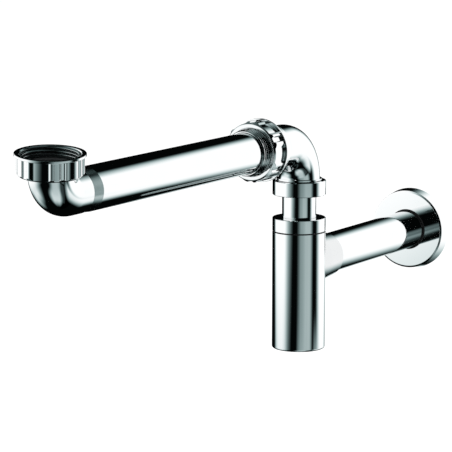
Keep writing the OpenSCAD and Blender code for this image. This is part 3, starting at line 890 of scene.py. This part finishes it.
class TRAP_OT_nuts(Operator):
    """Ribbed union nuts with rounded ribs and a chamfered closed end."""

    bl_idname = "trap.nuts"
    bl_label = "Ribbed nuts"

    def execute(self, context):
        sizes = context.scene.trap_nuts
        finish = context.scene.trap_finishes
        soft = sizes.soft_flank

        def ribs(turn):
            """Swelling of the wall between the chamfer and the flange, for a nut's turn."""
            def swell(s, r, t):
                sector = 2 * math.pi / RIB_PAIRS
                off = (t - turn + sector / 2) % sector - sector / 2
                d = off * (PANEL_RADIUS + RIB_HEIGHT)
                height = RIB_HEIGHT * (
                    smooth_step(d, -RIB_OUTSIDE - TRAILING_FLANK - soft, -RIB_OUTSIDE + soft)
                    - smooth_step(d, -GROOVE_HALF - soft, -GROOVE_HALF + 2 * soft)
                    + smooth_step(d, GROOVE_HALF - 2 * soft, GROOVE_HALF + soft)
                    - smooth_step(d, RIB_OUTSIDE - soft, RIB_OUTSIDE + LEADING_FLANK + soft))
                wall = (abs(r - PANEL_RADIUS) < 2e-4) & (s > sizes.chamfer)
                return np.where(wall, np.minimum(height, s - sizes.chamfer), 0)
            return swell

        bores = {"inlet_nut": (INLET_AXIS, PIPE_RADIUS + BEND_ROOM),
                 "arm_nut": (ARM_AXIS, COLLAR_RADIUS + GAP)}
        for node, (axis, bore) in bores.items():
            foot, height, turn = nut_in_frame(node, axis)
            flange = height - FLANGE_THICK
            corners = [
                (0.0, bore), (0.0, PANEL_RADIUS - sizes.chamfer), (sizes.chamfer, PANEL_RADIUS),
                (flange, PANEL_RADIUS), (flange, FLANGE_RADIUS), (height, FLANGE_RADIUS),
                (height, NUT_THREAD_RADIUS + MOUTH_BEVEL), (height - MOUTH_BEVEL, NUT_THREAD_RADIUS),
                (NUT_END, NUT_THREAD_RADIUS), (NUT_END, bore)]
            profile = rounded(corners, sizes.rounding)
            # More rows where the ribs run out in the chamfer, after the rounded chamfer's edge
            rows = np.linspace(sizes.chamfer + sizes.rounding * 1.3,
                               sizes.chamfer + RIB_HEIGHT * 1.2, 12)
            wall = np.stack([rows, np.full_like(rows, PANEL_RADIUS)], axis=1)
            profile = np.insert(profile, 3 * len(profile) // len(corners), wall, axis=0)
            # Painted shade: a dark colour inside each nut's bore
            inside = bore_mask(foot, axis, NUT_BORE, NUT_END / 2, FAR)
            material = chrome_material(f"chrome, {node}", shader_groups(), haze=0.01, streaks=0.02,
                                       masks=[(*inside, tuple(finish.bore_painted_shade), 0.32)])
            nut = turned_piece(f"ribbed_{node}", foot, axis, profile, sizes.steps, material,
                               ribs(turn))
            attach(nut, node)
            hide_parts(node)
        return {"FINISHED"}


class TRAP_OT_threads(Operator):
    """Helical thread inside the inlet nut."""

    bl_idname = "trap.threads"
    bl_label = "Threads"

    def execute(self, context):
        sizes = context.scene.trap_threads
        finish = context.scene.trap_finishes
        # Painted shade: the thread inside the inlet nut's bore gets a darker colour than the chrome, and more
        # roughness
        inside = bore_mask(INLET_POINT, INLET_AXIS, NUT_BORE, -FAR, FAR)
        material = chrome_material("chrome, thread", shader_groups(), haze=0.02, streaks=0.02,
                                   masks=[(*inside, (0.58, 0.62, 0.62), 0.16)])
        mount = MOUNTS["basin_inlet"]
        root = mount["dims"]["r_mm"] / 1000
        length = mount["dims"]["length_mm"] / 1000
        half = length / 2
        ridge = thread_ridge(
            "inlet_nut_thread", Vector(mount["pos_m"]), INLET_AXIS, -half, half, root,
            -sizes.union_depth, sizes.union_pitch, 0.0, sizes.steps, material)
        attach(ridge, "inlet_nut")
        return {"FINISHED"}


# Cards of the light tent, in degrees as seen from the trap: azimuth 0 is towards the camera and
# grows to the right, and elevation is above the horizon. Each is (name, level of light,
# (left, right, low, high), corner, soft edges at the same four sides), painted in this order
CARDS = (
    ("ceiling", 0.05, (-200, 260, 62, 120), 1, (1, 1, 1, 10)),
    ("ceiling, back left", 0.20, (-200, -95, 52, 120), 1, (1, 30, 1, 12)),
    ("ceiling, back right", 0.20, (150, 260, 60, 120), 1, (30, 1, 1, 12)),
    ("left wall's foot", 0.78, (-116, -66, -44, 0), 14, (18, 20, 13, 8)),
    ("left wall", 1.0, (-137, -46, -19, 46), 27, (5, 27, 8, 10)),
    ("table", 0.36, (4, 55, -60, -6), 4, (14, 12, 4, 8)),
    ("table's light side", 0.50, (26, 55, -60, -6), 4, (20, 12, 4, 8)),
    ("table's right end", 0.0, (38, 84, -100, -21), 4, (10, 4, 1, 3)),
    ("table's front", 0.66, (-15, 41, -69, -38), 14, (14, 13, 12, 10)),
    ("table's middle", 0.55, (0, 28, -48, -20), 4, (14, 12, 8, 5)),
    ("right wall's foot", 0.85, (73, 122, -38, -19), 8, (12, 14, 12, 4)),
    ("right wall", 1.0, (91, 154, -28, 47), 26, (12, 10, 10, 10)),
    ("strip behind", 0.80, (160, 186, -22, -10), 5, (4, 4, 4, 4)),
)

# The camera, solved from the photograph: place, heading, downward tilt and roll
CAMERA_PLACE = (-1.9007, -0.9917, 0.3633)
CAMERA_HEADING = math.radians(31.87)
CAMERA_TILT = math.radians(9.62)
CAMERA_ROLL = math.radians(0.11)
FOCAL_PIXELS = 2500.0
FRAME_PIXELS = 452.0
SENSOR_WIDTH = 36.0

# The point that the tent's cards are laid out from, and the tent's centre's shift to the camera
TENT_POINT = Vector((-0.27, 0.0, 0.03))
TENT_SHIFT = 0.3
TENT_BLACK = 0.0015
TEAL_SHARE = 0.68


def make_camera():
    """Camera at the photograph's place and angle."""
    data = bpy.data.cameras.new("camera")
    data.sensor_width = SENSOR_WIDTH
    data.lens = SENSOR_WIDTH * FOCAL_PIXELS / FRAME_PIXELS
    data.clip_end = 200.0
    ahead = Vector((math.cos(CAMERA_HEADING) * math.cos(CAMERA_TILT),
                    math.sin(CAMERA_HEADING) * math.cos(CAMERA_TILT), -math.sin(CAMERA_TILT)))
    right = Vector((math.sin(CAMERA_HEADING), -math.cos(CAMERA_HEADING), 0.0))
    up = right.cross(ahead)
    turn = Matrix.Rotation(CAMERA_ROLL, 3, -ahead)
    right, up = turn @ right, turn @ up
    camera = bpy.data.objects.new("camera", data)
    axes = Matrix((right, up, -ahead)).transposed().to_4x4()
    camera.matrix_world = Matrix.Translation(CAMERA_PLACE) @ axes
    bpy.context.scene.collection.objects.link(camera)
    bpy.context.scene.camera = camera


def camera_only(tree, shown, lit):
    """Mix of two shaders: the first for rays of the camera, of gloss and of glass."""
    path = tree.nodes.new("ShaderNodeLightPath")
    seen = math_node(tree, "MAXIMUM", path.outputs["Is Camera Ray"],
                     math_node(tree, "MAXIMUM", path.outputs["Is Glossy Ray"],
                               path.outputs["Is Transmission Ray"]))
    mix = tree.nodes.new("ShaderNodeMixShader")
    tree.links.new(seen, mix.inputs[0])
    tree.links.new(lit, mix.inputs[1])
    tree.links.new(shown, mix.inputs[2])
    return mix.outputs[0]


def make_world(level):
    """White for the camera, and a plain soft light from all round on the trap."""
    world = bpy.data.worlds.new("studio")
    bpy.context.scene.world = world
    world.use_nodes = True
    tree = world.node_tree
    tree.nodes.clear()
    output = tree.nodes.new("ShaderNodeOutputWorld")
    shown, lit = (tree.nodes.new("ShaderNodeBackground") for _ in range(2))
    shown.inputs["Strength"].default_value = 1.0
    lit.inputs["Strength"].default_value = level
    for node in (shown, lit):
        node.inputs["Color"].default_value = (1, 1, 1, 1)
    surface = camera_only(tree, shown.outputs[0], lit.outputs[0])
    tree.links.new(surface, output.inputs["Surface"])


# What the camera sees of the floor over its own light, so that it is near white
FLOOR_LIFT = 0.34


def make_floor(drop):
    """Wide pale floor. The camera sees it near white, and it keeps the trap's soft shadow."""
    reach = 60.0
    rows = np.linspace(-reach, reach, 9)
    x, y = np.meshgrid(rows, rows, indexing="ij")
    points = np.stack([x, y, np.full_like(x, -drop)], axis=-1)
    material = bpy.data.materials.new("pale floor")
    material.use_nodes = True
    tree = material.node_tree
    tree.nodes.clear()
    matt = tree.nodes.new("ShaderNodeBsdfDiffuse")
    matt.inputs["Color"].default_value = (0.9, 0.9, 0.9, 1)
    lift = tree.nodes.new("ShaderNodeEmission")
    lift.inputs["Strength"].default_value = FLOOR_LIFT
    both = tree.nodes.new("ShaderNodeAddShader")
    tree.links.new(matt.outputs[0], both.inputs[0])
    tree.links.new(lift.outputs[0], both.inputs[1])
    output = tree.nodes.new("ShaderNodeOutputMaterial")
    tree.links.new(camera_only(tree, both.outputs[0], matt.outputs[0]), output.inputs["Surface"])
    floor = mesh_piece("floor", points, grid_faces(9, 9, False), material)
    floor.visible_glossy = False


def tent_material(white):
    """The tent's inner skin: black, with soft cards painted by azimuth and elevation from the
    trap. It only glows, so that it lights nothing and is only seen in the chrome."""
    material = bpy.data.materials.new("light tent")
    material.use_nodes = True
    tree = material.node_tree
    tree.nodes.clear()
    place = tree.nodes.new("ShaderNodeTexCoord").outputs["Object"]
    way = vector_node(tree, "SUBTRACT", place, tuple(TENT_POINT)).outputs[0]
    way = vector_node(tree, "NORMALIZE", way).outputs[0]
    near = (-math.cos(CAMERA_HEADING), -math.sin(CAMERA_HEADING), 0.0)
    right = (math.sin(CAMERA_HEADING), -math.cos(CAMERA_HEADING), 0.0)
    # Azimuth is measured from 30 degrees to the right, so that its jump lies at the back left
    seam = math.radians(30)
    ahead = tuple(math.cos(seam) * n + math.sin(seam) * r for n, r in zip(near, right))
    aside = tuple(math.cos(seam) * r - math.sin(seam) * n for n, r in zip(near, right))
    to_near = vector_node(tree, "DOT_PRODUCT", way, ahead).outputs["Value"]
    to_right = vector_node(tree, "DOT_PRODUCT", way, aside).outputs["Value"]
    to_up = vector_node(tree, "DOT_PRODUCT", way, (0.0, 0.0, 1.0)).outputs["Value"]
    turned = math_node(tree, "ARCTAN2", to_right, to_near)
    degrees = 180 / math.pi
    azimuth = math_node(tree, "MULTIPLY_ADD", turned, degrees, 30.0)
    elevation = math_node(tree, "MULTIPLY", math_node(tree, "ARCSINE", to_up), degrees)
    group = build_card_group()
    level = TENT_BLACK
    for name, card_level, sides, corner, soft in CARDS:
        values = dict(zip(("Left", "Right", "Low", "High"), sides))
        values.update(zip(("Soft left", "Soft right", "Soft low", "Soft high"), soft))
        card = place_group(tree, group, {**values, "Corner": corner},
                           {"Azimuth": azimuth, "Elevation": elevation})
        card.label = name
        step = math_node(tree, "SUBTRACT", card_level, level)
        level = math_node(tree, "MULTIPLY_ADD", card.outputs["Mask"], step, level)
    # The half-lit cards are blue-green: red follows green times a share that grows to nearly 1
    share = math_node(tree, "MULTIPLY_ADD", level, 1 - TEAL_SHARE, TEAL_SHARE)
    colour = tree.nodes.new("ShaderNodeCombineColor")
    tree.links.new(math_node(tree, "MULTIPLY", level, share), colour.inputs["Red"])
    tree.links.new(level, colour.inputs["Green"])
    tree.links.new(level, colour.inputs["Blue"])
    glow = tree.nodes.new("ShaderNodeEmission")
    glow.inputs["Strength"].default_value = white
    tree.links.new(colour.outputs[0], glow.inputs["Color"])
    output = tree.nodes.new("ShaderNodeOutputMaterial")
    tree.links.new(glow.outputs[0], output.inputs["Surface"])
    material.cycles.emission_sampling = "NONE"
    return material


def make_tent(radius, white):
    """Round tent about the trap, seen by glossy rays only. Its skin is a sphere: a point at
    longitude u and latitude v is the centre + radius * (cos v cos u, cos v sin u, sin v)."""
    heading = Vector((math.cos(CAMERA_HEADING), math.sin(CAMERA_HEADING), 0.0))
    centre = TENT_POINT - heading * TENT_SHIFT
    rows, columns = 65, 128
    u = np.linspace(0, 2 * math.pi, columns, endpoint=False)
    v = np.linspace(-math.pi / 2, math.pi / 2, rows)[1:-1]
    v, u = np.meshgrid(v, u, indexing="ij")
    skin = np.stack([np.cos(v) * np.cos(u), np.cos(v) * np.sin(u), np.sin(v)], axis=-1)
    points = np.concatenate([skin.reshape(-1, 3), [[0, 0, -1], [0, 0, 1]]]) * radius
    points += np.array(centre)
    faces = grid_faces(rows - 2, columns, True)
    count = (rows - 2) * columns
    ends = np.arange(columns)
    after = (ends + 1) % columns
    top = count - columns
    faces += np.stack([after, ends, np.full(columns, count)], axis=-1).tolist()
    faces += np.stack([top + ends, top + after, np.full(columns, count + 1)], axis=-1).tolist()
    tent = mesh_piece("light_tent", points, faces, tent_material(white))
    tent.visible_camera = False
    tent.visible_diffuse = False
    tent.visible_transmission = False
    tent.visible_volume_scatter = False
    tent.visible_shadow = False


def make_lamp(power):
    """One large soft lamp overhead, in front of the trap, that the chrome doesn't show."""
    data = bpy.data.lights.new("soft lamp", "AREA")
    data.shape = "DISK"
    data.size = 2.0
    data.energy = power
    lamp = bpy.data.objects.new("soft_lamp", data)
    place = Vector((-1.0, -1.2, 2.2))
    lamp.location = place
    lamp.rotation_euler = (TENT_POINT - place).to_track_quat("-Z", "Y").to_euler()
    lamp.visible_glossy = False
    bpy.context.scene.collection.objects.link(lamp)


class TRAP_OT_stage(Operator):
    """Floor, light tent, lamp, world and camera."""

    bl_idname = "trap.stage"
    bl_label = "Studio"

    def execute(self, context):
        sizes = context.scene.trap_stage
        make_camera()
        make_world(sizes.room_level)
        make_floor(sizes.floor_drop)
        make_tent(sizes.tent_radius, sizes.tent_white)
        make_lamp(sizes.lamp_power)
        context.scene.view_settings.view_transform = "Standard"
        return {"FINISHED"}


class TRAP_PT_panel(Panel):
    """Sidebar panel with the trap's settings and its operators."""

    bl_label = "Basin trap"
    bl_idname = "TRAP_PT_panel"
    bl_space_type = "VIEW_3D"
    bl_region_type = "UI"
    bl_category = "Basin Trap"

    def draw(self, context):
        for group in (getattr(context.scene, name) for name in SETTINGS):
            box = self.layout.box()
            for name in group.bl_rna.properties.keys():
                if name not in {"rna_type", "name"}:
                    box.prop(group, name)
        for operator in OPERATORS:
            self.layout.operator(operator.bl_idname)


OPERATORS = (TRAP_OT_stage, TRAP_OT_chrome, TRAP_OT_seals, TRAP_OT_arm, TRAP_OT_rings,
             TRAP_OT_nuts, TRAP_OT_threads)
SETTINGS = {"trap_threads": TrapThreads, "trap_rings": TrapRings, "trap_nuts": TrapNuts,
            "trap_finishes": TrapFinishes, "trap_stage": TrapStage}


def register():
    for cls in (*SETTINGS.values(), *OPERATORS, TRAP_PT_panel):
        bpy.utils.register_class(cls)
    for name, cls in SETTINGS.items():
        setattr(bpy.types.Scene, name, PointerProperty(type=cls))


def unregister():
    for name in SETTINGS:
        delattr(bpy.types.Scene, name)
    for cls in reversed((*SETTINGS.values(), *OPERATORS, TRAP_PT_panel)):
        bpy.utils.unregister_class(cls)


def main():
    register()
    bpy.ops.trap.stage()
    bpy.ops.trap.chrome()
    bpy.ops.trap.seals()
    bpy.ops.trap.arm()
    bpy.ops.trap.rings()
    bpy.ops.trap.nuts()
    bpy.ops.trap.threads()


if __name__ == "__main__":
    main()
